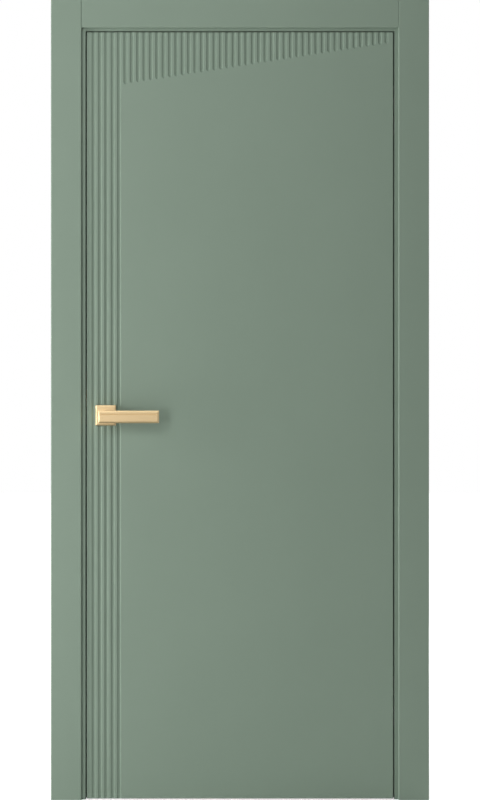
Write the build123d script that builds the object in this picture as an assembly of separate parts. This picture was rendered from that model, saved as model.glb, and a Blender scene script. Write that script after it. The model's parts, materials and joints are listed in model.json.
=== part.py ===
from build123d import *
import math
import os

# Leaf: two fluted skins on a frame of stiles and rails, running gap all round it
LEAF_W = 800
LEAF_H = 2000
LEAF_T = 40
LEAF_GAP = 3
LEAF_EDGE_R = 1.5
SKIN_T = 5
STILE_LOCK_W = 110
STILE_HINGE_W = 60
RAIL_TOP_H = 60
RAIL_BOTTOM_H = 80

# Flutes: one ball-nosed cutter, a few full-height runs at the lock side, the rest ramp out on a slant
FLUTE_COUNT = 47
FLUTE_LONG_COUNT = 5
FLUTE_INSET = 17.7
FLUTE_R = 6
FLUTE_DEPTH = 2.7
FLUTE_DROP_FIRST = 135
FLUTE_DROP_LAST = 29
FLUTE_RAMP = 5

# Jambs, set back from the leaf's front face, and the stops planted on them
JAMB_T = 40
JAMB_D = 80
JAMB_SETBACK = 2.6
JAMB_EDGE_R = 2
STOP_PROUD = 12
STOP_GAP = 3
STOP_EDGE_R = 2

# Casings with a tongue in the jamb
CASING_W = 80
CASING_T = 8
CASING_EDGE_R = 2.8
REVEAL_SIDE = 10
REVEAL_HEAD = 8
TONGUE_IN = 31
TONGUE_T = 5
TONGUE_L = 11
GROOVE_FIT = 0.2

# Rubber seal in the stop
SEAL_IN = 6
SEAL_STEM_T = 2.6
SEAL_STEM_L = 5
SEAL_LIP_W = 8
SEAL_LIP_R = 0.9
SEAL_FREE = 0.4

# Concealed hinge: crossed arms, mirror-symmetric about the gap's middle plane when shut.
# Both pivots, the crossing and the leaf's turning axis are the corners of a rhombus in plan.
HINGE_FROM_BOTTOM = 250
HINGE_FROM_TOP = 200
HINGE_OPEN_DEG = 95
HINGE_PIVOT_U = 4.6
HINGE_PIVOT_V = -4
HINGE_CROSS_V = 9.6
HINGE_SLIDER_U = 22
PIN_D = 4
PIN_FIT = 0.06
SLIDER_FIT = 0.1
PIN_IN_CHEEK = 5
ARM_R = 3.4
ARM_A_SHARE = 0.48
ARM_GAP = 0.4
WEB_T = 4
WEB_R = 3
CUP_W = 29.6
CUP_DEPTH = 28.5
CUP_BODY_L = 96
CUP_ROOM_SHARE = 0.67
CUP_FLANGE_L = 132
CUP_FLANGE_T = 4
CUP_SIDE_WALL = 1.3
CUP_FLOOR_T = 1.4
CUP_CORNER_R = 1
CUP_FIT = 0.2
CUP_FIT_LEAF = 0.7
CUP_SCREW_Z = 56

# Wood screws and machine screws
SCREW_D = 4
SCREW_HEAD_D = 7.6
SCREW_HEAD_L = 2.2
SCREW_L = 30
SCREW_FIT = 0.1
SCREW_SINK = 0.2

# Lock: case with cover, faceplate, follower and magnetic latch bolt
HANDLE_Z_ON_LEAF = 1000
BACKSET = 50
CASE_D = 84
CASE_T = 14
CASE_WALL = 1.5
CASE_BELOW = 46
CASE_ABOVE = 78
CASE_FIT = 0.5
FACEPLATE_T = 3
FACEPLATE_W = 18
FACEPLATE_L = 176
FACEPLATE_UP = 16
FACEPLATE_SCREW_Z = 76
FACEPLATE_FIT = 0.2
BOLT_UP = 46
BOLT_H = 30
BOLT_T = 10
BOLT_L = 26
BOLT_NOSE_R = 1.5
BOLT_THROW = 9
BOLT_TAIL_H = 9
BOLT_TAIL_T = 6
BOLT_TAIL_L = 46
BOLT_LUG_L = 6
BOLT_FIT = 0.3
FOLLOWER_D = 22
FOLLOWER_BOSS_D = 15
FOLLOWER_ARM_W = 8
FOLLOWER_ARM_T = 6
FOLLOWER_ARM_UP = 27
FOLLOWER_FIT = 0.3
LUG_CLEAR = 0.8

# Strike in the lock-side jamb
STRIKE_T = 2
STRIKE_W = 20
STRIKE_L = 144
STRIKE_OPEN_W = 13
STRIKE_OPEN_H = 36
STRIKE_SCREW_Z = 56
STRIKE_BOX_WALL = 1.5
BOLT_TO_MAGNET = 5.5
MAGNET_T = 5
MAGNET_FIT = 0.2

# Handles: square roses and bevelled levers on one spindle
ROSE_W = 53
ROSE_T = 9
ROSE_BEVEL = 3
ROSE_WALL = 2.4
ROSE_BASE_FIT = 0.2
ROSE_BASE_R = 2
ROSE_BOLT_X = 19
ROSE_BOLT_HEAD_D = 7.6
ROSE_BOLT_HEAD_L = 2.6
ROSE_SLEEVE_D = 6
ROSE_SLEEVE_SHARE = 0.45
LEVER_REACH = 57
LEVER_T = 12
LEVER_LEFT = 15
LEVER_RIGHT = 141.5
LEVER_UP = 12.5
LEVER_DOWN = 19.5
LEVER_BEVEL = 4
LEVER_BACK_R = 2
LEVER_LINE_DOWN = 9.4
LEVER_LINE_W = 1.6
LEVER_LINE_DEPTH = 0.8
NECK_RIGHT = 7
NECK_UP = 9
NECK_DOWN = 16
NECK_R = 3
NECK_INTO_BAR = 2
COLLAR_D = 19
COLLAR_IN = 7.5
COLLAR_FIT = 0.4
ROSE_TO_NECK = 1
SPINDLE_W = 8
SPINDLE_FIT = 0.1
SPINDLE_END = 22
GRUB_D = 5
GRUB_FROM_BAR = 18
GRUB_SINK = 1
GRUB_SOCKET_D = 2.5
GRUB_SOCKET_L = 2.5

# Screws that draw the jamb corners together, and the wall fixing holes
CORNER_SCREW_L = 70
CORNER_SCREW_YS_SHARE = (0.32, 0.8)
FIX_HOLE_D = 6.4
FIX_HOLE_Y = 0
FIX_HOLE_ZS_SHARE = (0.28, 0.72)

OVERRUN = 1

LEAF_X = LEAF_W / 2
LEAF_Y = LEAF_T / 2
LEAF_Z0 = LEAF_GAP
LEAF_Z1 = LEAF_GAP + LEAF_H
CORE_Y = LEAF_Y - SKIN_T
JAMB_X0 = LEAF_X + LEAF_GAP
JAMB_X1 = JAMB_X0 + JAMB_T
JAMB_Y0 = JAMB_SETBACK - LEAF_Y
JAMB_Y1 = JAMB_Y0 + JAMB_D
STOP_X = JAMB_X0 - STOP_PROUD
STOP_Y = LEAF_Y + STOP_GAP
HEAD_Z0 = LEAF_Z1 + LEAF_GAP
HEAD_Z1 = HEAD_Z0 + JAMB_T
STOP_Z = HEAD_Z0 - STOP_PROUD
CASING_Z1 = HEAD_Z0 + REVEAL_HEAD + CASING_W
HINGE_X = LEAF_X + LEAF_GAP / 2
HINGE_ZS = {"lower": LEAF_Z0 + HINGE_FROM_BOTTOM, "upper": LEAF_Z1 - HINGE_FROM_TOP}
HINGE_ARM_L = math.hypot(HINGE_PIVOT_U, HINGE_CROSS_V - HINGE_PIVOT_V)
HINGE_ARM_DEG = math.degrees(math.atan2(HINGE_CROSS_V - HINGE_PIVOT_V, HINGE_PIVOT_U))
CHEEK_Z = CUP_BODY_L * CUP_ROOM_SHARE / 2
ARMS_T = 2 * CHEEK_Z - 2 * WEB_T - 6 * ARM_GAP
ARM_A_T = ARMS_T * ARM_A_SHARE
ARM_B_T = (ARMS_T - ARM_A_T) / 2
WEB_Z = ARM_A_T / 2 + ARM_GAP
ARM_B_Z = WEB_Z + WEB_T + ARM_GAP
HANDLE_X = BACKSET - LEAF_X
HANDLE_Z = LEAF_Z0 + HANDLE_Z_ON_LEAF
CASE_X0 = FACEPLATE_T - LEAF_X
CASE_X1 = CASE_X0 + CASE_D
CASE_Y = CASE_T / 2
FACEPLATE_Z = HANDLE_Z + FACEPLATE_UP
BOLT_Z = HANDLE_Z + BOLT_UP
STRIKE_BOX_D = BOLT_THROW + BOLT_TO_MAGNET + MAGNET_T + STRIKE_BOX_WALL - LEAF_GAP - STRIKE_T
PIN_R = PIN_D / 2
SIDE_PLANE = Plane(origin=(JAMB_X0, 0, 0), x_dir=(1, 0, 0), z_dir=(0, 0, 1))
HEAD_PLANE = Plane(origin=(JAMB_X1, 0, HEAD_Z0), x_dir=(0, 0, 1), z_dir=(-1, 0, 0))


def block(x0, x1, y0, y1, z0, z1):
    """Box between two corners."""
    centre = Pos((x0 + x1) / 2, (y0 + y1) / 2, (z0 + z1) / 2)
    return centre * Box(x1 - x0, y1 - y0, z1 - z0)


def rod(radius, start, end):
    """Round bar from one point to another."""
    start, end = Vector(*start), Vector(*end)
    along = end - start
    return extrude(Plane(origin=start, z_dir=along) * Circle(radius), along.length)


def cross_rod(radius, x, y0, y1):
    """Round bar through the leaf at the handle's height."""
    return rod(radius, (x, y0, HANDLE_Z), (x, y1, HANDLE_Z))


def obround(x, y, z, length, width, depth):
    """Upright plate with round ends on an X face; a negative depth goes toward -X."""
    plane = Plane(origin=(x, y, z), x_dir=(0, 0, 1), z_dir=(1, 0, 0))
    return extrude(plane * SlotOverall(length, width), depth)


def rect(a0, a1, b0, b1):
    """Rectangle sketch between two corners."""
    return Pos((a0 + a1) / 2, (b0 + b1) / 2) * Rectangle(a1 - a0, b1 - b0)


def left_of(shape):
    """Copy on the lock side of a piece made for the hinge side."""
    return mirror(shape, about=Plane.YZ)


def behind(shape):
    """Copy on the back of the leaf of a piece made for its front."""
    return mirror(shape, about=Plane.XZ)


def screw(head, into, length, grow=0):
    """Countersunk screw, head face at one point and running the given way; grow makes its hole."""
    plane = Plane(origin=Vector(*head), z_dir=Vector(*into))
    r, head_r = SCREW_D / 2 + grow, SCREW_HEAD_D / 2 + grow
    taper = math.degrees(math.atan2(head_r - r, SCREW_HEAD_L))
    top = extrude(plane * Circle(head_r), SCREW_HEAD_L, taper=taper)
    body = top + extrude(plane * Circle(r), length + grow)
    return body + extrude(plane * Circle(head_r), -OVERRUN) if grow else body


def flute_end(index):
    """Height of a short flute's tip, counted from the lock side."""
    short = (index - FLUTE_LONG_COUNT) / (FLUTE_COUNT - FLUTE_LONG_COUNT - 1)
    return LEAF_Z1 - FLUTE_DROP_FIRST - (FLUTE_DROP_LAST - FLUTE_DROP_FIRST) * short


def flute_cuts():
    """Cutter runs in the front face, each open at the leaf's top edge.

    A short run stays at full depth down to its ramp, then the cutter lifts straight out of the face.
    """
    y = FLUTE_DEPTH - FLUTE_R - LEAF_Y
    top = LEAF_Z1 + OVERRUN
    lift = FLUTE_DEPTH / FLUTE_RAMP
    pitch = (LEAF_W - 2 * FLUTE_INSET) / (FLUTE_COUNT - 1)
    cuts = []
    for index in range(FLUTE_COUNT):
        x = -LEAF_X + FLUTE_INSET + pitch * index
        start = Plane(origin=(x, y, top), z_dir=(0, 0, -1))
        if index < FLUTE_LONG_COUNT:
            path = Line((x, y, top), (x, y, LEAF_Z0 - OVERRUN))
        else:
            bend = flute_end(index) + FLUTE_RAMP
            out = 2 * FLUTE_RAMP
            path = Polyline((x, y, top), (x, y, bend), (x, y - lift * out, bend - out))
        cuts.append(sweep(start * Circle(FLUTE_R), path=path, transition=Transition.RIGHT))
    return cuts


def handle_bores():
    """Holes through the leaf for the collars and the rose bolts' sleeves."""
    cuts = [cross_rod(COLLAR_D / 2 + COLLAR_FIT, HANDLE_X, -LEAF_Y, LEAF_Y)]
    for x in rose_bolt_xs():
        cuts.append(cross_rod(ROSE_SLEEVE_D / 2 + SCREW_FIT, x, -LEAF_Y, LEAF_Y))
    return cuts


def rose_bolt_xs():
    return (HANDLE_X - ROSE_BOLT_X, HANDLE_X + ROSE_BOLT_X)


def leaf_skin():
    """Front skin with its milled flutes."""
    skin = block(-LEAF_X, LEAF_X, -LEAF_Y, -CORE_Y, LEAF_Z0, LEAF_Z1)
    rim = skin.faces().sort_by(Axis.Y)[0].edges()
    return fillet(rim, LEAF_EDGE_R) - flute_cuts() - handle_bores()


def hinge_pockets(side):
    """Room for the hinge cups and their screws in the jamb (1) or the leaf (-1)."""
    cuts = []
    for z in HINGE_ZS.values():
        face = HINGE_X + LEAF_GAP / 2
        fit = CUP_FIT if side > 0 else CUP_FIT_LEAF
        width = CUP_W + 2 * fit
        cut = obround(face, 0, z, CUP_BODY_L + 2 * fit, width, CUP_DEPTH + fit)
        cut += obround(face - OVERRUN, 0, z, CUP_FLANGE_L + 2 * fit, width, CUP_FLANGE_T + OVERRUN)
        for dz in (-CUP_SCREW_Z, CUP_SCREW_Z):
            cut += screw((face + SCREW_SINK, 0, z + dz), (1, 0, 0), SCREW_L, SCREW_FIT)
        cuts.append(cut if side > 0 else mirror(cut, about=Plane.YZ.offset(HINGE_X)))
    return cuts


def lock_mortise():
    """Room for the lock case, the faceplate and its screws in the lock stile."""
    fit = CASE_FIT
    cut = block(CASE_X0 - OVERRUN, CASE_X1 + fit, -CASE_Y - fit, CASE_Y + fit,
                HANDLE_Z - CASE_BELOW - fit, HANDLE_Z + CASE_ABOVE + fit)
    cut += obround(CASE_X0, 0, FACEPLATE_Z, FACEPLATE_L + 2 * FACEPLATE_FIT,
                   FACEPLATE_W + 2 * FACEPLATE_FIT, -FACEPLATE_T - OVERRUN)
    return [cut] + lock_screws(SCREW_FIT)


def lock_screws(grow=0):
    return [screw((SCREW_SINK - LEAF_X, 0, FACEPLATE_Z + dz), (1, 0, 0), SCREW_L, grow)
            for dz in (-FACEPLATE_SCREW_Z, FACEPLATE_SCREW_Z)]


def leaf_frame():
    """Stiles, rails and core between the skins."""
    x0, x1 = STILE_LOCK_W - LEAF_X, LEAF_X - STILE_HINGE_W
    z0, z1 = LEAF_Z0 + RAIL_BOTTOM_H, LEAF_Z1 - RAIL_TOP_H
    lock = block(-LEAF_X, x0, -CORE_Y, CORE_Y, LEAF_Z0, LEAF_Z1)
    hinge = block(x1, LEAF_X, -CORE_Y, CORE_Y, LEAF_Z0, LEAF_Z1)
    return {
        "leaf_stile_lock": lock - lock_mortise() - handle_bores(),
        "leaf_stile_hinge": hinge - hinge_pockets(-1),
        "leaf_rail_top": block(x0, x1, -CORE_Y, CORE_Y, z1, LEAF_Z1),
        "leaf_rail_bottom": block(x0, x1, -CORE_Y, CORE_Y, LEAF_Z0, z0),
        "leaf_core": block(x0, x1, -CORE_Y, CORE_Y, z0, z1),
    }


def jamb_section():
    """Jamb in section, from the rebate face outward and front to back."""
    board = rect(0, JAMB_T, JAMB_Y0, JAMB_Y1)
    section = fillet(board.vertices().sort_by(Axis.X)[:2].sort_by(Axis.Y)[0], JAMB_EDGE_R)
    g0, g1 = TONGUE_IN - GROOVE_FIT, TONGUE_IN + TONGUE_T + GROOVE_FIT
    depth = TONGUE_L + GROOVE_FIT
    section -= rect(g0, g1, JAMB_Y0 - OVERRUN, JAMB_Y0 + depth)
    return section - rect(g0, g1, JAMB_Y1 - depth, JAMB_Y1 + OVERRUN)


def stop_section():
    """Stop strip in section, on the rebate face behind the leaf, with the seal's groove."""
    strip = rect(-STOP_PROUD, 0, STOP_Y, JAMB_Y1)
    section = fillet(strip.vertices().group_by(Axis.X)[0], STOP_EDGE_R)
    half = SEAL_STEM_T / 2 + GROOVE_FIT
    deep = STOP_Y + SEAL_STEM_L + GROOVE_FIT
    return section - rect(-SEAL_IN - half, half - SEAL_IN, STOP_Y - OVERRUN, deep)


def seal_section():
    """Seal in section: a soft lip on the stop with a stem in its groove."""
    half = SEAL_LIP_W / 2
    lip = rect(-SEAL_IN - half, half - SEAL_IN, LEAF_Y + SEAL_FREE, STOP_Y)
    lip = fillet(lip.vertices().group_by(Axis.Y)[0], SEAL_LIP_R)
    stem = SEAL_STEM_T / 2
    return lip + rect(-SEAL_IN - stem, stem - SEAL_IN, STOP_Y, STOP_Y + SEAL_STEM_L)


def mitre_cut(above):
    """Half space over (or under) the corner's mitre at the hinge side."""
    x0, z0 = STOP_X - JAMB_T, STOP_Z - JAMB_T
    x1, z1 = JAMB_X1 + JAMB_T, HEAD_Z1 + JAMB_T
    corner = (x0, z1) if above else (x1, z0)
    face = make_face(Plane.XZ * Polyline((x0, z0), (x1, z1), corner, close=True))
    return extrude(face, JAMB_D, both=True)


def side_run(section):
    """Section run up the hinge side and mitred at the head."""
    return extrude(SIDE_PLANE * section, HEAD_Z1) - mitre_cut(True)


def head_run(section):
    """Section run across the head and mitred at both ends."""
    run = extrude(HEAD_PLANE * section, 2 * JAMB_X1)
    return run - mitre_cut(False) - left_of(mitre_cut(False))


def corner_screws(grow=0):
    """Screws through the hinge-side jamb into the head."""
    z = HEAD_Z0 + JAMB_T / 2
    return [screw((JAMB_X1 - SCREW_SINK, JAMB_Y0 + share * JAMB_D, z), (-1, 0, 0), CORNER_SCREW_L, grow)
            for share in CORNER_SCREW_YS_SHARE]


def fixing_holes():
    """Wall fixing holes through the hinge-side jamb."""
    return [rod(FIX_HOLE_D / 2, (JAMB_X0 - OVERRUN, FIX_HOLE_Y, LEAF_H * share),
                (JAMB_X1 + OVERRUN, FIX_HOLE_Y, LEAF_H * share)) for share in FIX_HOLE_ZS_SHARE]


def jambs():
    """Two side jambs and the head with every cut for hinges, strike and screws."""
    side = side_run(jamb_section()) - fixing_holes() - corner_screws(SCREW_FIT)
    head = head_run(jamb_section()) - corner_screws(SCREW_FIT)
    head -= [left_of(cut) for cut in corner_screws(SCREW_FIT)]
    return {
        "jamb_lock_side": left_of(side) - strike_pocket(),
        "jamb_hinge_side": side - hinge_pockets(1),
        "jamb_head": head,
    }


def casing_section(reveal):
    """Front casing in section without its tongue, from the rebate face outward."""
    board = rect(reveal, reveal + CASING_W, JAMB_Y0 - CASING_T, JAMB_Y0)
    return fillet(board.vertices().group_by(Axis.Y)[0], CASING_EDGE_R)


def tongue_section():
    return rect(TONGUE_IN, TONGUE_IN + TONGUE_T, JAMB_Y0, JAMB_Y0 + TONGUE_L)


def casings():
    """Side casings run full height, the head casing butts between them."""
    side = extrude(SIDE_PLANE * casing_section(REVEAL_SIDE), CASING_Z1)
    side += extrude(SIDE_PLANE * tongue_section(), HEAD_Z0 + TONGUE_IN)
    half = JAMB_X0 + REVEAL_SIDE
    plane = HEAD_PLANE.offset(JAMB_X1 - half)
    head = extrude(plane * casing_section(REVEAL_HEAD), 2 * half)
    head += extrude(plane * tongue_section(), 2 * half)
    middle = Plane.XZ.offset(-(JAMB_Y0 + JAMB_Y1) / 2)
    front = {"left": left_of(side), "right": side, "head": head}
    nodes = {"casing_front_" + name: piece for name, piece in front.items()}
    nodes.update({"casing_back_" + name: mirror(piece, about=middle) for name, piece in front.items()})
    return nodes


def slider_slot():
    """Plan of the slot in a frame-side cheek that arm B's slider runs in.

    Each arm is as long from pivot to crossing as its pivot is from the leaf's axis, so it turns by the door
    angle and never turns against the other side's cup: there its slider follows a round arc of that length.
    """
    centre = (HINGE_SLIDER_U + HINGE_PIVOT_U, HINGE_PIVOT_V)
    arc = CenterArc(centre, HINGE_ARM_L, 180 - HINGE_ARM_DEG, HINGE_OPEN_DEG)
    return SlotArc(arc, PIN_D + 2 * SLIDER_FIT)


def pivot_plan():
    return Pos(HINGE_PIVOT_U, HINGE_PIVOT_V) * Circle(PIN_R + PIN_FIT)


def hinge_cup(z):
    """Cup on the frame side: flanged body with an open mouth and slider slots in its cheeks."""
    face = HINGE_X + LEAF_GAP / 2
    cup = obround(face, 0, z, CUP_BODY_L, CUP_W, CUP_DEPTH)
    cup += obround(face, 0, z, CUP_FLANGE_L, CUP_W, CUP_FLANGE_T)
    half = CUP_W / 2 - CUP_SIDE_WALL
    floor = face + CUP_DEPTH - CUP_FLOOR_T
    room = block(face - OVERRUN, floor, -half, half, z - CHEEK_Z, z + CHEEK_Z)
    cup -= fillet(room.edges().filter_by(Axis.Z).sort_by(Axis.X)[2:], CUP_CORNER_R)
    for z0 in (z - CHEEK_Z - PIN_IN_CHEEK, z + CHEEK_Z):
        cup -= extrude(Plane(origin=(HINGE_X, 0, z0)) * slider_slot(), PIN_IN_CHEEK)
    for dz in (-CUP_SCREW_Z, CUP_SCREW_Z):
        cup -= screw((face + SCREW_SINK, 0, z + dz), (1, 0, 0), SCREW_L, SCREW_FIT)
    return cup


def with_webs(cup, z):
    """Frame-side cup with the two webs that carry arm A's pivot pin beside the arm."""
    floor = LEAF_GAP / 2 + CUP_DEPTH - CUP_FLOOR_T
    web = Pos(HINGE_PIVOT_U, HINGE_PIVOT_V) * Circle(WEB_R)
    web += rect(HINGE_PIVOT_U, floor, HINGE_PIVOT_V - WEB_R, HINGE_PIVOT_V + WEB_R)
    web -= pivot_plan()
    for z0 in (z - WEB_Z - WEB_T, z + WEB_Z):
        cup += extrude(Plane(origin=(HINGE_X, 0, z0)) * web, WEB_T)
    return cup


def with_pivots(cup, z):
    """Cup with pivot holes in its cheeks, as the leaf side has for arm B."""
    reach = CHEEK_Z + PIN_IN_CHEEK
    return cup - extrude(Plane(origin=(HINGE_X, 0, z - reach)) * pivot_plan(), 2 * reach)


def hinge_screws():
    """Frame-side screws of all hinges."""
    face = HINGE_X + LEAF_GAP / 2 + SCREW_SINK
    return [screw((face, 0, z + dz), (1, 0, 0), SCREW_L)
            for z in HINGE_ZS.values() for dz in (-CUP_SCREW_Z, CUP_SCREW_Z)]


def upright_pin(u, v, z0, z1):
    return rod(PIN_R, (HINGE_X + u, v, z0), (HINGE_X + u, v, z1))


def arm_plan():
    """Plan of arm A: a bent link with an eye at its pivot, its crossing and its slider."""
    pivot, cross = (HINGE_PIVOT_U, HINGE_PIVOT_V), (0, HINGE_CROSS_V)
    slider = (-HINGE_SLIDER_U, HINGE_CROSS_V)
    plan = Sketch()
    for start, end in ((pivot, cross), (cross, slider)):
        u, v = end[0] - start[0], end[1] - start[1]
        link = SlotCenterToCenter(math.hypot(u, v), 2 * ARM_R, rotation=math.degrees(math.atan2(v, u)))
        plan += Pos((start[0] + end[0]) / 2, (start[1] + end[1]) / 2) * link
    for eye in (pivot, cross, slider):
        plan -= Pos(*eye) * Circle(PIN_R + PIN_FIT)
    return plan


def hinge_arms(z):
    """Arm A in the middle and arm B's two plates outside it."""
    arm = extrude(Plane(origin=(HINGE_X, 0, z - ARM_A_T / 2)) * arm_plan(), ARM_A_T)
    plan_b = mirror(arm_plan(), about=Plane.YZ)
    plates = [extrude(Plane(origin=(HINGE_X, 0, z0)) * plan_b, ARM_B_T)
              for z0 in (z - ARM_B_Z - ARM_B_T, z + ARM_B_Z)]
    return arm, plates


def hinge_pins():
    """Pins of all hinges by the piece that holds them."""
    pins = {"hinge_pins_frame": [], "hinge_pins_leaf": [], "hinge_pins_cross": [],
            "hinge_sliders_a": [], "hinge_sliders_b": []}
    end = CHEEK_Z + PIN_IN_CHEEK - ARM_GAP
    web = WEB_Z + WEB_T
    cross = ARM_B_Z + ARM_B_T - ARM_GAP
    for z in HINGE_ZS.values():
        pins["hinge_pins_frame"].append(upright_pin(HINGE_PIVOT_U, HINGE_PIVOT_V, z - web, z + web))
        pins["hinge_pins_cross"].append(upright_pin(0, HINGE_CROSS_V, z - cross, z + cross))
        pins["hinge_sliders_a"].append(upright_pin(-HINGE_SLIDER_U, HINGE_CROSS_V, z - end, z + end))
        for z0, z1 in ((z - end, z - ARM_B_Z), (z + ARM_B_Z, z + end)):
            pins["hinge_pins_leaf"].append(upright_pin(-HINGE_PIVOT_U, HINGE_PIVOT_V, z0, z1))
            pins["hinge_sliders_b"].append(upright_pin(HINGE_SLIDER_U, HINGE_CROSS_V, z0, z1))
    return pins


def hinges():
    """Every hinge piece, the leaf's cups and screws being the frame's reflected in the gap."""
    gap_middle = Plane.YZ.offset(HINGE_X)
    nodes = hinge_pins()
    for name, z in HINGE_ZS.items():
        cup = hinge_cup(z)
        arm_a, arm_b = hinge_arms(z)
        nodes["hinge_cup_frame_" + name] = with_webs(cup, z)
        nodes["hinge_cup_leaf_" + name] = mirror(with_pivots(cup, z), about=gap_middle)
        nodes["hinge_arm_a_" + name] = arm_a
        nodes["hinge_arm_b_" + name] = arm_b
    nodes["hinge_screws_frame"] = hinge_screws()
    nodes["hinge_screws_leaf"] = [mirror(piece, about=gap_middle) for piece in hinge_screws()]
    return nodes


def strike_pocket():
    """Room for the strike plate, its box and screws in the lock-side jamb."""
    fit = FACEPLATE_FIT
    face = -JAMB_X0
    cut = obround(face + OVERRUN, 0, BOLT_Z, STRIKE_L + 2 * fit, STRIKE_W + 2 * fit, -STRIKE_T - OVERRUN)
    half_w, half_h = strike_box_half()
    cut += block(face - STRIKE_T - STRIKE_BOX_D - fit, face, -half_w - fit, half_w + fit,
                 BOLT_Z - half_h - fit, BOLT_Z + half_h + fit)
    return [cut] + strike_screws(SCREW_FIT)


def strike_box_half():
    return (STRIKE_OPEN_W / 2 + STRIKE_BOX_WALL, STRIKE_OPEN_H / 2 + STRIKE_BOX_WALL)


def strike_screws(grow=0):
    return [screw((-JAMB_X0 - SCREW_SINK, 0, BOLT_Z + dz), (-1, 0, 0), SCREW_L, grow)
            for dz in (-STRIKE_SCREW_Z, STRIKE_SCREW_Z)]


def strike():
    """Plate let into the jamb, a box behind it and the magnet that draws the bolt out."""
    face = -JAMB_X0
    back = face - STRIKE_T
    half_w, half_h = STRIKE_OPEN_W / 2, STRIKE_OPEN_H / 2
    plate = obround(face, 0, BOLT_Z, STRIKE_L, STRIKE_W, -STRIKE_T)
    plate -= block(back - OVERRUN, face + OVERRUN, -half_w, half_w, BOLT_Z - half_h, BOLT_Z + half_h)
    plate -= strike_screws(SCREW_FIT)
    out_w, out_h = strike_box_half()
    floor = back - STRIKE_BOX_D
    box = block(floor, back, -out_w, out_w, BOLT_Z - out_h, BOLT_Z + out_h)
    box -= block(floor + STRIKE_BOX_WALL, back + OVERRUN, -half_w, half_w, BOLT_Z - half_h, BOLT_Z + half_h)
    seat, w, h = floor + STRIKE_BOX_WALL, half_w - MAGNET_FIT, half_h - MAGNET_FIT
    magnet = block(seat, seat + MAGNET_T, -w, w, BOLT_Z - h, BOLT_Z + h)
    return {
        "strike_plate": plate,
        "strike_box": box,
        "strike_magnet": magnet,
        "strike_screws": strike_screws(),
    }


def lock_case():
    """Open tray on the back side and the cover on its front."""
    z0, z1 = HANDLE_Z - CASE_BELOW, HANDLE_Z + CASE_ABOVE
    wall = CASE_WALL
    split = wall - CASE_Y
    case = block(CASE_X0, CASE_X1, split, CASE_Y, z0, z1)
    case -= block(CASE_X0 + wall, CASE_X1 - wall, split, CASE_Y - wall, z0 + wall, z1 - wall)
    case -= bolt_opening(CASE_X0 - OVERRUN, CASE_X0 + wall + OVERRUN)
    cover = block(CASE_X0, CASE_X1, -CASE_Y, split, z0, z1)
    bores = [cross_rod(FOLLOWER_BOSS_D / 2 + FOLLOWER_FIT, HANDLE_X, -CASE_Y, CASE_Y)]
    for x in rose_bolt_xs():
        bores.append(cross_rod(ROSE_SLEEVE_D / 2 + SCREW_FIT, x, -CASE_Y, CASE_Y))
    return {"lock_case": case - bores, "lock_cover": cover - bores}


def bolt_opening(x0, x1):
    """Clear opening for the latch bolt's head."""
    half_t, half_h = BOLT_T / 2 + BOLT_FIT, BOLT_H / 2 + BOLT_FIT
    return block(x0, x1, -half_t, half_t, BOLT_Z - half_h, BOLT_Z + half_h)


def lock_faceplate():
    plate = obround(CASE_X0, 0, FACEPLATE_Z, FACEPLATE_L, FACEPLATE_W, -FACEPLATE_T)
    plate -= bolt_opening(-LEAF_X - OVERRUN, CASE_X0 + OVERRUN)
    return plate - lock_screws(SCREW_FIT)


def latch_bolt():
    """Bolt drawn in flush with the faceplate; its tail's lug stands over the follower's arm."""
    nose = -LEAF_X
    head = block(nose, nose + BOLT_L, -BOLT_T / 2, BOLT_T / 2, BOLT_Z - BOLT_H / 2, BOLT_Z + BOLT_H / 2)
    head = fillet(head.faces().sort_by(Axis.X)[0].edges().filter_by(Axis.Z), BOLT_NOSE_R)
    half_t, half_h = BOLT_TAIL_T / 2, BOLT_TAIL_H / 2
    end = nose + BOLT_L + BOLT_TAIL_L
    tail = block(nose + BOLT_L, end, -half_t, half_t, BOLT_Z - half_h, BOLT_Z + half_h)
    low = HANDLE_Z + math.hypot(FOLLOWER_ARM_UP, FOLLOWER_ARM_W / 2) + LUG_CLEAR
    return head + tail + block(end - BOLT_LUG_L, end, -half_t, half_t, low, BOLT_Z)


def spindle_hole(y0, y1):
    half = SPINDLE_W / 2 + SPINDLE_FIT
    return block(HANDLE_X - half, HANDLE_X + half, y0, y1, HANDLE_Z - half, HANDLE_Z + half)


def follower():
    """Hub turning in the lock case with the arm that draws the bolt back."""
    inner = CASE_Y - CASE_WALL - FOLLOWER_FIT
    hub = cross_rod(FOLLOWER_D / 2, HANDLE_X, -inner, inner)
    hub += cross_rod(FOLLOWER_BOSS_D / 2, HANDLE_X, -CASE_Y, CASE_Y)
    half_w, half_t = FOLLOWER_ARM_W / 2, FOLLOWER_ARM_T / 2
    hub += block(HANDLE_X - half_w, HANDLE_X + half_w, -half_t, half_t, HANDLE_Z, HANDLE_Z + FOLLOWER_ARM_UP)
    return hub - spindle_hole(-CASE_Y - OVERRUN, CASE_Y + OVERRUN)


def rose_bolts():
    """Bolts from the front and sleeve nuts from the back that clamp both roses."""
    outer = LEAF_Y + ROSE_T - ROSE_WALL
    seat = outer - ROSE_BOLT_HEAD_L
    split = LEAF_Y * ROSE_SLEEVE_SHARE
    bolts, sleeves = [], []
    for x in rose_bolt_xs():
        bolt = cross_rod(SCREW_D / 2, x, -seat, split)
        bolts.append(bolt + cross_rod(ROSE_BOLT_HEAD_D / 2, x, -outer, -seat))
        sleeve = cross_rod(ROSE_SLEEVE_D / 2, x, -split, seat)
        sleeve += cross_rod(ROSE_BOLT_HEAD_D / 2, x, seat, outer)
        sleeves.append(sleeve - cross_rod(SCREW_D / 2 + SCREW_FIT, x, -split, split + OVERRUN))
    return {"rose_bolts": bolts, "rose_sleeves": sleeves}


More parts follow.
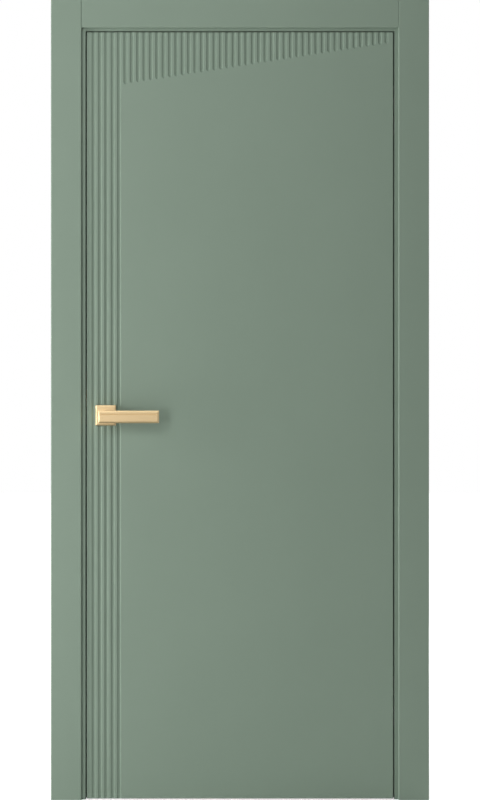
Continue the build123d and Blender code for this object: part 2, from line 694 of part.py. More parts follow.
def square_plate(width, y0, y1):
    half = width / 2
    return block(HANDLE_X - half, HANDLE_X + half, y0, y1, HANDLE_Z - half, HANDLE_Z + half)


def rose():
    """Front rose: a base bolted to the leaf and the bevelled cover over it."""
    front, face = -LEAF_Y - ROSE_T, -LEAF_Y
    room_y = front + ROSE_WALL
    cover = square_plate(ROSE_W, front, face)
    cover = chamfer(cover.faces().sort_by(Axis.Y)[0].edges(), ROSE_BEVEL)
    inner = ROSE_W - 2 * ROSE_WALL
    cover -= square_plate(inner, room_y, face + OVERRUN)
    base = square_plate(inner - 2 * ROSE_BASE_FIT, room_y, face)
    base = fillet(base.edges().filter_by(Axis.Y), ROSE_BASE_R)
    bore = cross_rod(COLLAR_D / 2 + COLLAR_FIT, HANDLE_X, front, face)
    seat = room_y + ROSE_BOLT_HEAD_L
    for x in rose_bolt_xs():
        base -= cross_rod(ROSE_SLEEVE_D / 2 + SCREW_FIT, x, seat, face)
        base -= cross_rod(ROSE_BOLT_HEAD_D / 2 + SCREW_FIT, x, room_y, seat)
    return base - bore, cover - bore


def lever():
    """Front lever: bevelled bar with a scored line, neck, and collar on the spindle."""
    front = -LEAF_Y - LEVER_REACH
    back = front + LEVER_T
    x0, x1 = HANDLE_X - LEVER_LEFT, HANDLE_X + LEVER_RIGHT
    top = HANDLE_Z + LEVER_UP
    bar = block(x0, x1, front, back, HANDLE_Z - LEVER_DOWN, top)
    bar = fillet(bar.faces().sort_by(Axis.Y)[-1].edges(), LEVER_BACK_R)
    bar = chamfer(bar.faces().sort_by(Axis.Y)[0].edges(), LEVER_BEVEL)
    line_z = top - LEVER_LINE_DOWN
    half = LEVER_LINE_W / 2
    deep = front + LEVER_LINE_DEPTH
    groove = make_face(Polyline((front, line_z - half), (front, line_z + half), (deep, line_z), close=True))
    bar -= extrude(Plane(origin=(x0, 0, 0), x_dir=(0, 1, 0), z_dir=(1, 0, 0)) * groove, x1 - x0)
    rose_front = -LEAF_Y - ROSE_T
    neck = block(x0, HANDLE_X + NECK_RIGHT, back - NECK_INTO_BAR, rose_front - ROSE_TO_NECK,
                 HANDLE_Z - NECK_DOWN, HANDLE_Z + NECK_UP)
    neck = fillet(neck.edges().filter_by(Axis.Y), NECK_R)
    collar_end = rose_front + COLLAR_IN
    collar = cross_rod(COLLAR_D / 2, HANDLE_X, rose_front - ROSE_TO_NECK, collar_end)
    body = bar + neck + collar
    body -= spindle_hole(back, collar_end + OVERRUN)
    grub_y = back + GRUB_FROM_BAR
    low = HANDLE_Z - NECK_DOWN
    return body - rod(GRUB_D / 2, (HANDLE_X, grub_y, low - OVERRUN), (HANDLE_X, grub_y, HANDLE_Z))


def grub_screw():
    """Socket screw under the front neck, its tip on the spindle."""
    y = -LEAF_Y - LEVER_REACH + LEVER_T + GRUB_FROM_BAR
    z0, z1 = HANDLE_Z - NECK_DOWN + GRUB_SINK, HANDLE_Z - SPINDLE_W / 2
    body = rod(GRUB_D / 2 - PIN_FIT, (HANDLE_X, y, z0), (HANDLE_X, y, z1))
    socket = Plane(origin=(HANDLE_X, y, z0)) * RegularPolygon(GRUB_SOCKET_D / 2, 6)
    return body - extrude(socket, GRUB_SOCKET_L)


def handles():
    """Roses, levers, spindle and fasteners, the back ones being the front ones reflected."""
    base, cover = rose()
    front = lever()
    grub = grub_screw()
    end = LEAF_Y + LEVER_REACH - SPINDLE_END
    half = SPINDLE_W / 2
    nodes = {
        "rose_base_front": base, "rose_base_back": behind(base),
        "rose_cover_front": cover, "rose_cover_back": behind(cover),
        "lever_front": front, "lever_back": behind(front),
        "spindle": block(HANDLE_X - half, HANDLE_X + half, -end, end, HANDLE_Z - half, HANDLE_Z + half),
        "grub_screws": [grub, behind(grub)],
    }
    nodes.update(rose_bolts())
    return nodes


def all_nodes():
    """Every piece by node name."""
    skin = leaf_skin()
    right = corner_screws()
    nodes = {"leaf_skin_front": skin, "leaf_skin_back": behind(skin)}
    nodes.update(leaf_frame())
    nodes.update(jambs())
    nodes.update(casings())
    for name, section in (("stop", stop_section()), ("seal", seal_section())):
        side = side_run(section)
        nodes[name + "_lock_side"] = left_of(side)
        nodes[name + "_hinge_side"] = side
        nodes[name + "_head"] = head_run(section)
    nodes["corner_screws"] = right + [left_of(piece) for piece in right]
    nodes.update(hinges())
    nodes.update(strike())
    nodes.update(lock_case())
    nodes.update({"lock_faceplate": lock_faceplate(), "lock_screws": lock_screws(),
                  "latch_bolt": latch_bolt(), "follower": follower()})
    nodes.update(handles())
    return nodes


os.makedirs("parts", exist_ok=True)
for name, piece in all_nodes().items():
    shape = Compound(children=piece) if isinstance(piece, list) else piece
    export_step(shape, "parts/" + name + ".step")
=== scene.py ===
# %% [markdown]
# # A fluted interior door in its frame
#
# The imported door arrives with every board, hinge, lock piece and handle already in its place, in metres.
# This notebook only dresses it. It gives each piece the finish of the real one, swaps a few metal pieces
# for finer surfaces, and sets up a white studio with a camera at the photograph's place.

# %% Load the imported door
import json
import math

import bmesh
import bpy
import numpy as np
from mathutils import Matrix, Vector


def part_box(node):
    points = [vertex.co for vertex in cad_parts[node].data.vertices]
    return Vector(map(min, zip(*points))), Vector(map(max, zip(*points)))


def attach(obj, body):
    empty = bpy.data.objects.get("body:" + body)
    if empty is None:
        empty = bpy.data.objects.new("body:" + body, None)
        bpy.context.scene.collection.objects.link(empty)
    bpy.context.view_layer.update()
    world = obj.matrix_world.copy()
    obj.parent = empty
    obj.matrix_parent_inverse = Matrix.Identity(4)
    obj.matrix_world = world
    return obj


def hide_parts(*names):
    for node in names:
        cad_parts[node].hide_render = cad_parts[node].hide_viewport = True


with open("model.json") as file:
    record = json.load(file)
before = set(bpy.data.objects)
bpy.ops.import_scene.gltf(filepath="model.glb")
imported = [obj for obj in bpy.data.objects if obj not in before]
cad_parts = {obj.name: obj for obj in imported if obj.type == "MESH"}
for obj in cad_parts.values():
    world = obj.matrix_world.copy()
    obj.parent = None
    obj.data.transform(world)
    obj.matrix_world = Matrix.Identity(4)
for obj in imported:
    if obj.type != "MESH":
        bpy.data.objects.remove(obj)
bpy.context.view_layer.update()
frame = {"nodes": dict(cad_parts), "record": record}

nodes, record = frame["nodes"], frame["record"]
slot_of = {row["node"]: row["material_slot"] for row in record["subparts"]}
body_of = {node: body for body, members in record["behaviour"]["bodies"].items() for node in members}

# %% [markdown]
# ## Shared effect: sprayed film
#
# Painted joinery is sprayed. The film lies in faint clouds of thicker and thinner colour, a forearm's
# length across, and its surface has a very fine orange peel. A painted picture could show both, but it
# would stretch on long boards and repeat on wide ones. Two noise fields of very different size do neither.
# They sit in a node group, because every painted or moulded piece uses them with values of its own.

# %% Sprayed film group
CLOUDS_A_METRE = 3.0
PEEL_A_METRE = 700.0
FILM_DETAIL = {"Cloud": 3.0, "Peel": 1.0}
FILM_ROUGHNESS = 0.5


def put(tree, kind, sockets=None, **settings):
    """New node with its settings and then its plain socket values."""
    node = tree.nodes.new(kind)
    for name, value in settings.items():
        setattr(node, name, value)
    for name, value in (sockets or {}).items():
        node.inputs[name].default_value = value
    return node


def new_group(name, takes, gives):
    """Empty shader group with float inputs, given their defaults, and float outputs."""
    group = bpy.data.node_groups.new(name, "ShaderNodeTree")
    for socket, default in takes.items():
        made = group.interface.new_socket(socket, in_out="INPUT", socket_type="NodeSocketFloat")
        made.default_value = default
    for socket in gives:
        group.interface.new_socket(socket, in_out="OUTPUT", socket_type="NodeSocketFloat")
    return group, group.nodes.new("NodeGroupInput"), group.nodes.new("NodeGroupOutput")


def make_film_group():
    """Cloud is slow noise, Peel is fast noise, both from 0 to 1 on Object coordinates in metres."""
    scales = {"Cloud scale": CLOUDS_A_METRE, "Peel scale": PEEL_A_METRE}
    group, takes, gives = new_group("sprayed_film", scales, FILM_DETAIL)
    place = put(group, "ShaderNodeTexCoord")
    for name, detail in FILM_DETAIL.items():
        noise = put(group, "ShaderNodeTexNoise", {"Detail": detail, "Roughness": FILM_ROUGHNESS})
        group.links.new(place.outputs["Object"], noise.inputs["Vector"])
        group.links.new(takes.outputs[name + " scale"], noise.inputs["Scale"])
        group.links.new(noise.outputs["Fac"], gives.inputs[name])
    return group


film_group = make_film_group()
print("group", film_group.name, [s.name for s in film_group.interface.items_tree])

# %% [markdown]
# ## Shared effect: brushed lines
#
# Satin metal is brushed along the piece, which leaves hairlines that are long one way and very thin the
# other two. They could be cut as real grooves, but there are thousands of them, thinner than a hair. Noise
# on coordinates that are squeezed along the brushing direction has just that shape and costs nothing. The
# three inputs are how many hairlines a metre there are along X, Y and Z.

# %% Brushed lines group
HAIRLINES = {"Along X": 8.0, "Along Y": 2500.0, "Along Z": 2500.0}
LINE_SCALE = {"Line": 1.0, "Shade": 0.12}
LINE_DETAIL = 2.0
LINE_ROUGHNESS = 0.6


def make_brush_group():
    """Line is noise on Object coordinates times a count a metre for each axis, Shade a slower one."""
    group, takes, gives = new_group("brushed_lines", HAIRLINES, LINE_SCALE)
    place = put(group, "ShaderNodeTexCoord")
    stretch = put(group, "ShaderNodeCombineXYZ")
    scaled = put(group, "ShaderNodeVectorMath", operation="MULTIPLY")
    for axis in "XYZ":
        group.links.new(takes.outputs["Along " + axis], stretch.inputs[axis])
    group.links.new(place.outputs["Object"], scaled.inputs[0])
    group.links.new(stretch.outputs["Vector"], scaled.inputs[1])
    for name, scale in LINE_SCALE.items():
        noise = put(group, "ShaderNodeTexNoise",
                    {"Scale": scale, "Detail": LINE_DETAIL, "Roughness": LINE_ROUGHNESS})
        group.links.new(scaled.outputs["Vector"], noise.inputs["Vector"])
        group.links.new(noise.outputs["Fac"], gives.inputs[name])
    return group


brush_group = make_brush_group()
print("group", brush_group.name, [s.name for s in brush_group.interface.items_tree])

# %% [markdown]
# ## Colours
#
# A colour that the eye reads off a picture is a display value from 0 to 255. Shaders add up light, so they
# need the linear value behind it. The colour field in Blender's window makes that step by itself, but a
# script fills the socket directly and has to make it first.

# %% Display colour to linear colour
def paint_colour(red, green, blue):
    """Linear RGBA of a display colour: each channel follows the sRGB curve."""
    c = np.array([red, green, blue]) / 255
    linear = np.where(c <= 0.04045, c / 12.92, ((c + 0.055) / 1.055) ** 2.4)
    return (*[float(v) for v in linear], 1.0)


print("display grey 128 is linear", round(paint_colour(128, 128, 128)[0], 3))

# %% [markdown]
# ## Sage lacquer on the leaf and the frame
#
# Leaf and frame wear the same sage paint, a matt lacquer with almost no sheen. One flat colour would look
# like plastic. So each finish mixes two close tones by the cloud mask, takes its roughness from the same
# mask and its relief from the peel. What is the same all over, such as the sheen, is a plain value on the
# Principled shader.

# %% Sage lacquer
PEEL_STRENGTH = 0.35
PLAIN_SPECULAR = 0.5
MATT_SPECULAR = 0.15


def new_material(name, sockets):
    """Material with one Principled shader, its plain values set on its own sockets."""
    material = bpy.data.materials.new(name)
    material.use_nodes = True
    tree = material.node_tree
    tree.nodes.clear()
    shader = put(tree, "ShaderNodeBsdfPrincipled", sockets)
    out = tree.nodes.new("ShaderNodeOutputMaterial")
    tree.links.new(shader.outputs["BSDF"], out.inputs["Surface"])
    return material, tree, shader


def colour_between(tree, mask, first, second, shader):
    """Base colour from the first colour at mask 0 to the second at mask 1."""
    mix = put(tree, "ShaderNodeMix", data_type="RGBA")
    sockets = [s for s in mix.inputs if s.type == "RGBA"]
    sockets[0].default_value, sockets[1].default_value = first, second
    tree.links.new(mask, mix.inputs[0])
    tree.links.new([s for s in mix.outputs if s.type == "RGBA"][0], shader.inputs["Base Color"])


def roughness_between(tree, mask, low, high, shader):
    """Roughness from low at mask 0 to high at mask 1."""
    ramp = put(tree, "ShaderNodeMapRange", {"To Min": low, "To Max": high})
    tree.links.new(mask, ramp.inputs["Value"])
    tree.links.new(ramp.outputs["Result"], shader.inputs["Roughness"])


def bump_from(tree, height, strength, distance, shader):
    """Fine relief from a height value; distance is the relief's depth in metres."""
    bump = put(tree, "ShaderNodeBump", {"Strength": strength, "Distance": distance})
    tree.links.new(height, bump.inputs["Height"])
    tree.links.new(bump.outputs["Normal"], shader.inputs["Normal"])


def film_finish(name, light, dark, rough, peel, clouds=CLOUDS_A_METRE, peels=PEEL_A_METRE,
                specular=PLAIN_SPECULAR):
    """Sprayed or moulded surface: two close tones, a roughness range and a peel depth in metres."""
    material, tree, shader = new_material(name, {"Specular IOR Level": specular})
    film = put(tree, "ShaderNodeGroup", {"Cloud scale": clouds, "Peel scale": peels}, node_tree=film_group)
    colour_between(tree, film.outputs["Cloud"], light, dark, shader)
    roughness_between(tree, film.outputs["Cloud"], *rough, shader)
    bump_from(tree, film.outputs["Peel"], PEEL_STRENGTH, peel, shader)
    return material


SAGE = {"light": paint_colour(133, 150, 135), "dark": paint_colour(128, 145, 130),
        "specular": MATT_SPECULAR}
finish = {
    "leaf_paint": film_finish("sage_lacquer_leaf", rough=(0.46, 0.54), peel=0.00006, **SAGE),
    "frame_paint": film_finish("sage_lacquer_frame", rough=(0.46, 0.54), peel=0.00006, **SAGE),
    "edge_paint": film_finish("sage_lacquer_edge", rough=(0.5, 0.6), peel=0.00008, **SAGE),
}
print("lacquers", sorted(finish))

# %% [markdown]
# ## Rubber, plastic and ferrite
#
# The seals are soft rubber in a darker tone of the paint. Rose bases and strike box are moulded plastic,
# and the magnet is pressed ferrite. A moulded skin differs from a sprayed one only in the size of its
# clouds and grain, so the same recipe makes them, with other numbers.

# %% Rubber, plastic and ferrite
MOULDED = {"rough": (0.4, 0.55), "peel": 0.00008, "clouds": 40.0, "peels": 1500.0}
moulded = {
    "seal_rubber": film_finish("seal_rubber", paint_colour(88, 98, 90), paint_colour(76, 86, 78),
                               rough=(0.6, 0.75), peel=0.00005, clouds=12.0, peels=900.0, specular=0.3),
    "black_plastic": film_finish("black_plastic", paint_colour(38, 38, 38), paint_colour(28, 28, 28),
                                 **MOULDED),
    "base_plastic": film_finish("grey_plastic", paint_colour(62, 62, 62), paint_colour(50, 50, 50),
                                **MOULDED),
    "magnet": film_finish("magnet_ferrite", paint_colour(84, 82, 80), paint_colour(64, 62, 62),
                          rough=(0.55, 0.75), peel=0.0001, clouds=60.0, peels=2500.0),
}
finish.update(moulded)
print("moulded finishes", sorted(moulded))

# %% [markdown]
# ## Metal
#
# The handle and the lock plates are brass-coloured with a satin brush along their length. Hinges, screws,
# lock case and bolt are zinc or steel. Metal has no colour of its own apart from its reflection, so its two
# tones go to Base Color with Metallic at 1, and the hairlines shift its roughness. A cast or plated piece
# isn't brushed, and equal counts along all three axes turn the hairlines into an even grain.

# %% Metal finishes
LENGTHWISE = (10.0, 2200.0, 2200.0)
UPRIGHT = (2200.0, 2200.0, 10.0)
CAST = (900.0, 900.0, 900.0)
HAIRLINE_STRENGTH = 0.25
HAIRLINE_DEPTH = 0.00002
CAST_DEPTH = 0.00004
GOLD = paint_colour(215, 190, 148), paint_colour(205, 179, 137)


def metal_finish(name, light, dark, rough, counts, depth=HAIRLINE_DEPTH):
    """Brushed metal: two tones by the slow lines, roughness by the fine ones, hairlines as relief."""
    material, tree, shader = new_material(name, {"Metallic": 1.0})
    brush = put(tree, "ShaderNodeGroup", dict(zip(HAIRLINES, counts)), node_tree=brush_group)
    colour_between(tree, brush.outputs["Shade"], light, dark, shader)
    roughness_between(tree, brush.outputs["Line"], *rough, shader)
    bump_from(tree, brush.outputs["Line"], HAIRLINE_STRENGTH, depth, shader)
    return material


metals = {
    "satin_gold": metal_finish("satin_gold", *GOLD, rough=(0.24, 0.34), counts=LENGTHWISE),
    "plate_gold": metal_finish("satin_gold_plate", *GOLD, rough=(0.3, 0.42), counts=UPRIGHT),
    "hinge_body": metal_finish("zinc_casting", paint_colour(196, 196, 192), paint_colour(172, 172, 170),
                               rough=(0.38, 0.55), counts=CAST, depth=CAST_DEPTH),
    "hinge_arm": metal_finish("hinge_arm_steel", paint_colour(186, 186, 184), paint_colour(160, 160, 160),
                              rough=(0.3, 0.45), counts=LENGTHWISE),
    "steel": metal_finish("zinc_plated_steel", paint_colour(206, 206, 202), paint_colour(184, 186, 188),
                          rough=(0.22, 0.38), counts=CAST),
    "bolt_steel": metal_finish("satin_bolt_steel", paint_colour(204, 202, 198), paint_colour(182, 182, 180),
                               rough=(0.25, 0.4), counts=UPRIGHT),
}
finish.update(metals)
print("metal finishes", sorted(metals))

# %% [markdown]
# ## Raw board inside the leaf
#
# Inside the leaf the core and rails are raw board. Only their ends can ever be seen, at the leaf's top and
# bottom edge, so a plain pressed-board look is enough: short fibres lying along the board. The brushed
# lines give those too, when there are fewer of them and they are shorter. With this last finish every
# piece of the door can be dressed.

# %% Raw board finish
FIBRES = {"Along X": 140.0, "Along Y": 900.0, "Along Z": 900.0}
BOARD_SPECULAR = 0.25
FIBRE_STRENGTH = 0.4
FIBRE_DEPTH = 0.0001


def board_finish(name, light, dark, rough):
    """Pressed board: two tones and relief by the fibres, roughness by their slower shade."""
    material, tree, shader = new_material(name, {"Specular IOR Level": BOARD_SPECULAR})
    fibre = put(tree, "ShaderNodeGroup", FIBRES, node_tree=brush_group)
    colour_between(tree, fibre.outputs["Line"], light, dark, shader)
    roughness_between(tree, fibre.outputs["Shade"], *rough, shader)
    bump_from(tree, fibre.outputs["Line"], FIBRE_STRENGTH, FIBRE_DEPTH, shader)
    return material


finish["core_wood"] = board_finish("raw_board", paint_colour(206, 178, 138), paint_colour(168, 136, 98),
                                   rough=(0.75, 0.9))
for name, node in nodes.items():
    node.data.materials.clear()
    node.data.materials.append(finish[slot_of[name]])
print(len(finish), "finishes on", len(nodes), "nodes")

# %% [markdown]
# ## Pieces that stand for a solid
#
# Some metal pieces deserve a finer surface than their solid has. The solid itself could be edited, but its
# mesh is loose triangles that other tools rely on, so it is left as it is. The finer piece is a new object
# at the origin, with its place in its mesh. It takes over the solid's body and material slot, so that it
# moves and is painted as the solid would be.

# %% Pieces that stand for a solid
def mesh_object(name, points, faces, material):
    """Object at the origin from points and a list of faces, shaded smooth."""
    mesh = bpy.data.meshes.new(name)
    mesh.from_pydata(points.tolist(), [], faces)
    mesh.polygons.foreach_set("use_smooth", np.ones(len(mesh.polygons), bool))
    mesh.materials.append(material)
    mesh.update()
    made = bpy.data.objects.new(name, mesh)
    bpy.context.scene.collection.objects.link(made)
    return made


def solid_points(name):
    """Points of a solid as an array of rows x, y, z."""
    mesh = nodes[name].data
    flat = np.empty(len(mesh.vertices) * 3)
    mesh.vertices.foreach_get("co", flat)
    return flat.reshape(-1, 3)


def stand_for(piece, name):
    """The piece takes a solid's place: the solid is hidden and the piece rides on its body."""
    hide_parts(name)
    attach(piece, body_of[name])


print("points on the front lever's solid", len(solid_points("lever_front")))

# %% [markdown]
# ## Broken arrises on the metal
#
# A solid ends in knife-sharp edges. On a ground and brushed handle each arris is broken by a few tenths of
# a millimetre, and that thin line is what catches the light. The pieces could be modelled again with round
# edges, but their forms are already right and exact. So a copy is made of each: its triangles are merged,
# its flats are joined back into whole faces, and a Bevel breaks every edge that turns by more than a set
# angle.

# %% Broken arrises
ARRIS_WIDTH = 0.0003
ARRIS_SEGMENTS = 3
ARRIS_TURN = math.radians(28)
FLAT_TURN = math.radians(0.4)
WELD = 1e-6
SOFT_EDGED = ("lever_front", "lever_back", "rose_cover_front", "rose_cover_back", "lock_faceplate",
              "strike_plate", "latch_bolt", "hinge_cup_frame_lower", "hinge_cup_frame_upper",
              "hinge_cup_leaf_lower", "hinge_cup_leaf_upper")


def broken_arrises(name):
    """Copy of a solid with its points merged, its flats joined and its edges bevelled."""
    mesh = nodes[name].data
    corners = np.empty(len(mesh.loops), int)
    mesh.loops.foreach_get("vertex_index", corners)
    triangles = corners.reshape(-1, 3).tolist()
    piece = mesh_object(name + "_soft", solid_points(name), triangles, finish[slot_of[name]])
    shape = bmesh.new()
    shape.from_mesh(piece.data)
    bmesh.ops.remove_doubles(shape, verts=shape.verts, dist=WELD)
    bmesh.ops.dissolve_limit(shape, angle_limit=FLAT_TURN, verts=shape.verts, edges=shape.edges)
    shape.to_mesh(piece.data)
    shape.free()
    bevel = piece.modifiers.new("arris", "BEVEL")
    bevel.width, bevel.segments, bevel.harden_normals = ARRIS_WIDTH, ARRIS_SEGMENTS, True
    bevel.limit_method, bevel.angle_limit = "ANGLE", ARRIS_TURN
    stand_for(piece, name)
    return len(piece.data.polygons)


print("faces before the bevel", {name: broken_arrises(name) for name in SOFT_EDGED})

# %% [markdown]
# ## Screws: reading their measures
#
# Hinges, faceplate, strike plate and frame corners are held by countersunk screws with a cross recess. The
# solids have the right places, cones and shanks but plain heads, so each screw is made again as a turned
# surface. Its measures could be typed in, but then they would no longer follow the solid. They are read off
# it: points that lie close together are one screw, and its end with the wider ring is the head.

# %% Screw measures
SCREW_NODES = ("hinge_screws_frame", "hinge_screws_leaf", "lock_screws", "strike_screws", "corner_screws")
APART = 0.008
DEPTH_DECIMALS = 5


def cluster(values):
    """Number of the cluster that each value is in, where a gap wider than APART starts a new one."""
    order = np.argsort(values)
    number = np.empty(len(values), int)
    number[order] = np.concatenate([[0], np.cumsum(np.diff(values[order]) > APART)])
    return number


def measure_screws(name):
    """One row a screw: head face, way in along X, centre Y and Z, head and shank radius, cone, length."""
    points = solid_points(name)
    keys = np.stack([points[:, 0] > 0, cluster(points[:, 1]), cluster(points[:, 2])], axis=1)
    found = []
    for key in np.unique(keys, axis=0):
        own = points[(keys == key).all(axis=1)]
        centre = (own[:, 1:].min(0) + own[:, 1:].max(0)) / 2
        reach = np.linalg.norm(own[:, 1:] - centre, axis=1)
        ends = own[:, 0].min(), own[:, 0].max()
        wide = [reach[np.abs(own[:, 0] - end) < WELD].max() for end in ends]
        head, way = (ends[0], 1) if wide[0] > wide[1] else (ends[1], -1)
        depths = np.unique(np.round(np.abs(own[:, 0] - head), DEPTH_DECIMALS))
        found.append((head, way, *centre, max(wide), min(wide), depths[1], depths[-1]))
    return found


screws = {name: measure_screws(name) for name in SCREW_NODES}
print("screws", {name: len(rows) for name, rows in screws.items()})
lock_screw_mm = np.round(np.array(screws["lock_screws"][0][4:]) * 1000, 2)
print("lock screw: head and shank radius, cone, length", lock_screw_mm, "mm")

# %% [markdown]
# ## Screws: the cross recess
#
# The recess that takes the driver is a pit with four arms, deepest in the middle. It could be cut out with a
# boolean, but that leaves long thin faces which shade badly. On a turned surface the pit is only a number
# for each point of the head's face: how far that point is pushed in. Folding the point's angle back onto
# the first arm makes one formula do for all four. The shares are parts of the head's radius.

# %% Cross recess
PIT_DEPTH = 0.0016
PIT_RISE = 0.6
ARM_SHARE = 0.62
ARM_HALF_SHARE = 0.13
PIT_EDGE_SHARE = 0.05


def cross_pit(radius, turn, head_r):
    """Depth of the recess: full on four arms, sloping up to their ends, nothing beside them."""
    folded = (turn + math.pi / 4) % (math.pi / 2) - math.pi / 4
    beside, along = radius * np.abs(np.sin(folded)), radius * np.cos(folded)
    inside = np.clip((ARM_HALF_SHARE * head_r - beside) / (PIT_EDGE_SHARE * head_r) + 0.5, 0, 1)
    within = np.clip((ARM_SHARE * head_r - along) / (PIT_EDGE_SHARE * head_r), 0, 1)
    return PIT_DEPTH * inside * within * (1 - PIT_RISE * along / head_r)


print("pit half way along an arm, mm", round(float(cross_pit(0.3, 0.0, 1.0)) * 1000, 2))

# %% [markdown]
# ## Screws: the turned surface
#
# A screw is turned, so its surface is a profile carried round an axis: a ring of points for each step of
# the profile. It could be drawn as a line and spun, but then the recess would have nothing to bend. The
# rings lie close together where the recess is, at shares of the face's radius, and three of them round the
# head's rim. No fitter stops all screws at the same angle, so each one is turned further than the last.

# %% Turned screws
TURNS = 64
RECESS_RINGS = 18
RECESS_FROM = 0.04
RECESS_TO = 0.72
RIM_SHARES = (0.8, 0.9)
HEAD_ROUND = 0.00015
ROUND_SHARE = 0.3
TIP_SHARE = 0.9
SCREW_TURN = 2.4


def turned_screw(head, way, y, z, head_r, shank_r, cone, length, start):
    """Rings round the axis: over the head's face with its pit, down the cone and the shank to the tip."""
    face = np.append(np.linspace(RECESS_FROM, RECESS_TO, RECESS_RINGS), RIM_SHARES) * (head_r - HEAD_ROUND)
    rim_r = head_r - HEAD_ROUND * np.array([1, ROUND_SHARE, 0])
    rim_depth = HEAD_ROUND * np.array([0, ROUND_SHARE, 1])
    radius = np.concatenate([face, rim_r, [shank_r, shank_r, TIP_SHARE * shank_r]])
    depth = np.concatenate([0 * face, rim_depth, [cone, length - HEAD_ROUND, length]])
    turn = np.linspace(0, 2 * math.pi, TURNS, endpoint=False)
    ring_r, ring_turn = np.meshgrid(radius, turn, indexing="ij")
    on_face = (ring_r < head_r) & (depth < WELD)[:, None]
    deep = depth[:, None] + np.where(on_face, cross_pit(ring_r, ring_turn, head_r), 0)
    place = ring_turn + start
    rings = np.stack([head + way * deep, y + ring_r * np.cos(place), z - way * ring_r * np.sin(place)],
                     axis=-1)
    hub, tip = [head + way * PIT_DEPTH, y, z], [head + way * length, y, z]
    return np.vstack([[hub], rings.reshape(-1, 3), [tip]]), len(radius)


def turned_faces(count, offset):
    """A fan from the hub, quads from ring to ring and a fan to the tip, numbered from an offset."""
    step = np.arange(TURNS)
    onward = np.roll(step, -1)
    ring = 1 + TURNS * np.arange(count - 1)[:, None]
    quads = np.stack([ring + step, ring + TURNS + step, ring + TURNS + onward, ring + onward], axis=-1)
    last = 1 + TURNS * (count - 1)
    hub_fan = np.stack([0 * step, 1 + step, 1 + onward], axis=1)
    tip_fan = np.stack([last + step, 0 * step + last + TURNS, last + onward], axis=1)
    return [(part + offset).tolist() for part in (hub_fan, quads.reshape(-1, 4), tip_fan)]


for name, rows in screws.items():
    points, faces = [], []
    for number, row in enumerate(rows):
        shape, count = turned_screw(*row, SCREW_TURN * number)
        faces += sum(turned_faces(count, len(shape) * number), [])
        points.append(shape)
    stand_for(mesh_object(name + "_cross", np.vstack(points), faces, finish[slot_of[name]]), name)
print("points on one screw", len(shape))

# %% [markdown]
# ## Studio floor
#
# The photograph is a catalogue picture: the door stands free on white. A pale floor under it keeps the
# door's soft shadow. A floor that is only lit would end in a grey edge against the white world, so further
# out it shows the camera a white of its own, and the two melt together. Nothing stands behind the door,
# because it is looked at from there too.

# %% Floor
FLOOR_REACH = 12.0
PAPER = (0.88, 0.88, 0.88, 1)
PAPER_ROUGHNESS = 0.9
WHITE = (1, 1, 1, 1)
GLOW_NEAR = 0.5
GLOW_FAR = 1.0
GLOW_FROM = 0.8
GLOW_TO = 3.0


def studio_floor():
    """White paper: lit as any sheet, and to the camera it adds a glow that grows with the distance."""
    sheet = {"Base Color": PAPER, "Roughness": PAPER_ROUGHNESS, "Emission Color": WHITE}
    material, tree, shader = new_material("studio_paper", sheet)
    place = tree.nodes.new("ShaderNodeTexCoord")
    reach = put(tree, "ShaderNodeVectorMath", operation="LENGTH")
    ramp = put(tree, "ShaderNodeMapRange", {"From Min": GLOW_FROM, "From Max": GLOW_TO, "To Min": GLOW_NEAR,
                                            "To Max": GLOW_FAR}, interpolation_type="SMOOTHSTEP")
    path = tree.nodes.new("ShaderNodeLightPath")
    glow = put(tree, "ShaderNodeMath", operation="MULTIPLY")
    tree.links.new(place.outputs["Object"], reach.inputs[0])
    tree.links.new(reach.outputs["Value"], ramp.inputs["Value"])
    tree.links.new(path.outputs["Is Camera Ray"], glow.inputs[0])
    tree.links.new(ramp.outputs["Result"], glow.inputs[1])
    tree.links.new(glow.outputs[0], shader.inputs["Emission Strength"])
    return material


floor_corners = FLOOR_REACH * np.array([[-1, -1, 0], [1, -1, 0], [1, 1, 0], [-1, 1, 0]])
mesh_object("studio_floor", floor_corners, [[0, 1, 2, 3]], studio_floor())
print("floor", 2 * FLOOR_REACH, "m wide")

# %% [markdown]
# ## White world, weak fill
#
# The world is white to the camera and to reflections, so that the background is white and the brass has
# something pale to mirror. If it lit the paint with the same strength, every gap and flute would be washed
# out. For all other rays it is a weak grey fill, and gaps and far sides stay dark.

# %% World
FILL = 0.075
BACKGROUND = 1.0


def make_world():
    """White for camera, glossy and transmission rays, soft grey fill for the rest."""
    world = bpy.data.worlds.new("white_studio")
    bpy.context.scene.world = world
    world.use_nodes = True
    tree = world.node_tree
    tree.nodes.clear()
    path = tree.nodes.new("ShaderNodeLightPath")
    seen = path.outputs["Is Camera Ray"]
    for ray in ("Is Glossy Ray", "Is Transmission Ray"):
        either = put(tree, "ShaderNodeMath", operation="MAXIMUM")
        tree.links.new(seen, either.inputs[0])
        tree.links.new(path.outputs[ray], either.inputs[1])
        seen = either.outputs[0]
    fill = put(tree, "ShaderNodeBackground", {"Color": WHITE, "Strength": FILL})
    white = put(tree, "ShaderNodeBackground", {"Color": WHITE, "Strength": BACKGROUND})
    mix = tree.nodes.new("ShaderNodeMixShader")
    out = tree.nodes.new("ShaderNodeOutputWorld")
    tree.links.new(seen, mix.inputs[0])
    tree.links.new(fill.outputs[0], mix.inputs[1])
    tree.links.new(white.outputs[0], mix.inputs[2])
    tree.links.new(mix.outputs[0], out.inputs["Surface"])
    return world


print("world", make_world().name, "fill", FILL)

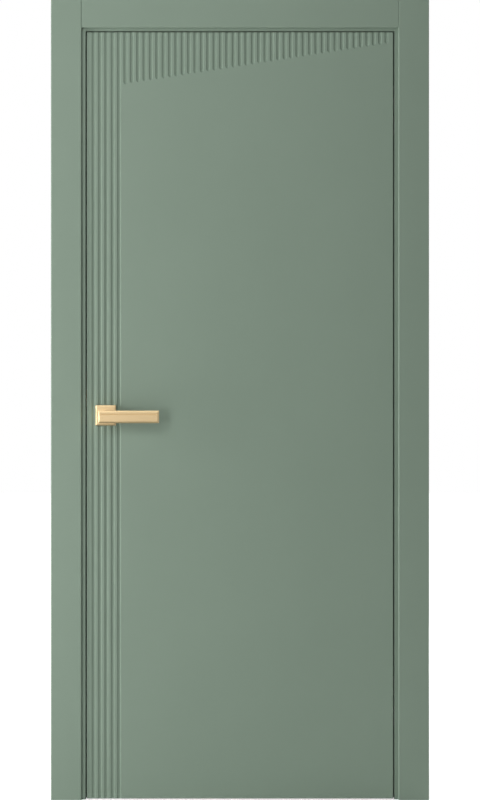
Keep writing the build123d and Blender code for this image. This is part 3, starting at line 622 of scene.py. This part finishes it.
# %% [markdown]
# ## Lamps
#
# In the photograph the light falls from left to right. Two soft lamps on the left, one high and one low,
# give that fall. A thin tall one far to the side grazes the face, so that every edge and flute wall that
# looks left has a bright line. One in front keeps the head of the door from going dark, and one overhead
# pales the upper bevel of the lever. Three more stand on the other side in the same way, because the door
# is looked at from behind too. Sizes are metres, wide by high.

# %% Lamps
LAMPS = {
    "key_high": {"place": (-1.6, -2.6, 2.0), "aim_height": 1.2, "size": (0.7, 1.0), "watts": 15.0},
    "key_low": {"place": (-1.6, -2.6, 0.7), "aim_height": 0.7, "size": (0.7, 0.9), "watts": 19.5},
    "side_box": {"place": (-2.5, -0.5, 1.0), "aim_height": 1.0, "size": (0.3, 1.9), "watts": 53.0},
    "front_top": {"place": (-0.6, -3.3, 2.9), "aim_height": 2.9, "size": (1.0, 1.0), "watts": 18.0},
    "overhead": {"place": (-0.45, -0.75, 3.4), "aim_height": 1.0, "size": (1.2, 0.4), "watts": 9.5},
    "back_key": {"place": (1.6, 2.6, 1.3), "aim_height": 1.2, "size": (0.7, 2.2), "watts": 44.0},
    "back_side": {"place": (2.5, 0.5, 1.0), "aim_height": 1.0, "size": (0.3, 1.9), "watts": 36.0},
    "back_top": {"place": (0.6, 3.3, 2.9), "aim_height": 2.9, "size": (1.0, 1.0), "watts": 22.0},
}


def aim(thing, place, target):
    """Stand a lamp or camera at a place, looking at a target."""
    thing.location = place.tolist()
    thing.rotation_euler = Vector((target - place).tolist()).to_track_quat("-Z", "Y").to_euler()


def hang_lamp(name, place, aim_height, size, watts):
    """Rectangular soft lamp, width by height, aimed at a height on the middle of the door."""
    data = bpy.data.lights.new(name, "AREA")
    data.shape, data.size, data.size_y, data.energy = "RECTANGLE", *size, watts
    made = bpy.data.objects.new(name, data)
    bpy.context.scene.collection.objects.link(made)
    aim(made, np.array(place), np.array([0.0, 0.0, aim_height]))
    print(name, "at", place, watts, "W")


for name, lamp in LAMPS.items():
    hang_lamp(name, **lamp)

# %% [markdown]
# ## Camera
#
# The picture is 480 by 800 pixels, straight on, with the door filling its height. One pixel is 2.61 mm on
# the leaf's face, so 800 pixels cover 2.09 m, and the camera stands at mid height of that. Its distance
# follows from how much wider the casings, which stand nearer, look than the leaf. The lens is worked out
# from both, so that the distance can be changed without losing the framing.

# %% Camera at the photograph's place
IMAGE_HEIGHT_PX = 800
LEAF_MM_PER_PX = 2.61
CAMERA_TO_FACE = 3.68
CAMERA_HEIGHT = 1.043
SENSOR_MM = 36.0

face_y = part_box("leaf_skin_front")[0].y
cam_data = bpy.data.cameras.new("photo_camera")
cam_data.sensor_fit, cam_data.sensor_width, cam_data.sensor_height = "AUTO", SENSOR_MM, SENSOR_MM
cam_data.lens = SENSOR_MM * CAMERA_TO_FACE / (IMAGE_HEIGHT_PX * LEAF_MM_PER_PX / 1000)
camera = bpy.data.objects.new("photo_camera", cam_data)
bpy.context.scene.collection.objects.link(camera)
stand = np.array([0.0, face_y - CAMERA_TO_FACE, CAMERA_HEIGHT])
aim(camera, stand, stand + np.array([0.0, 1.0, 0.0]))
bpy.context.scene.camera = camera
bpy.context.scene.view_settings.view_transform = "Standard"
print("lens", round(cam_data.lens, 2), "mm")
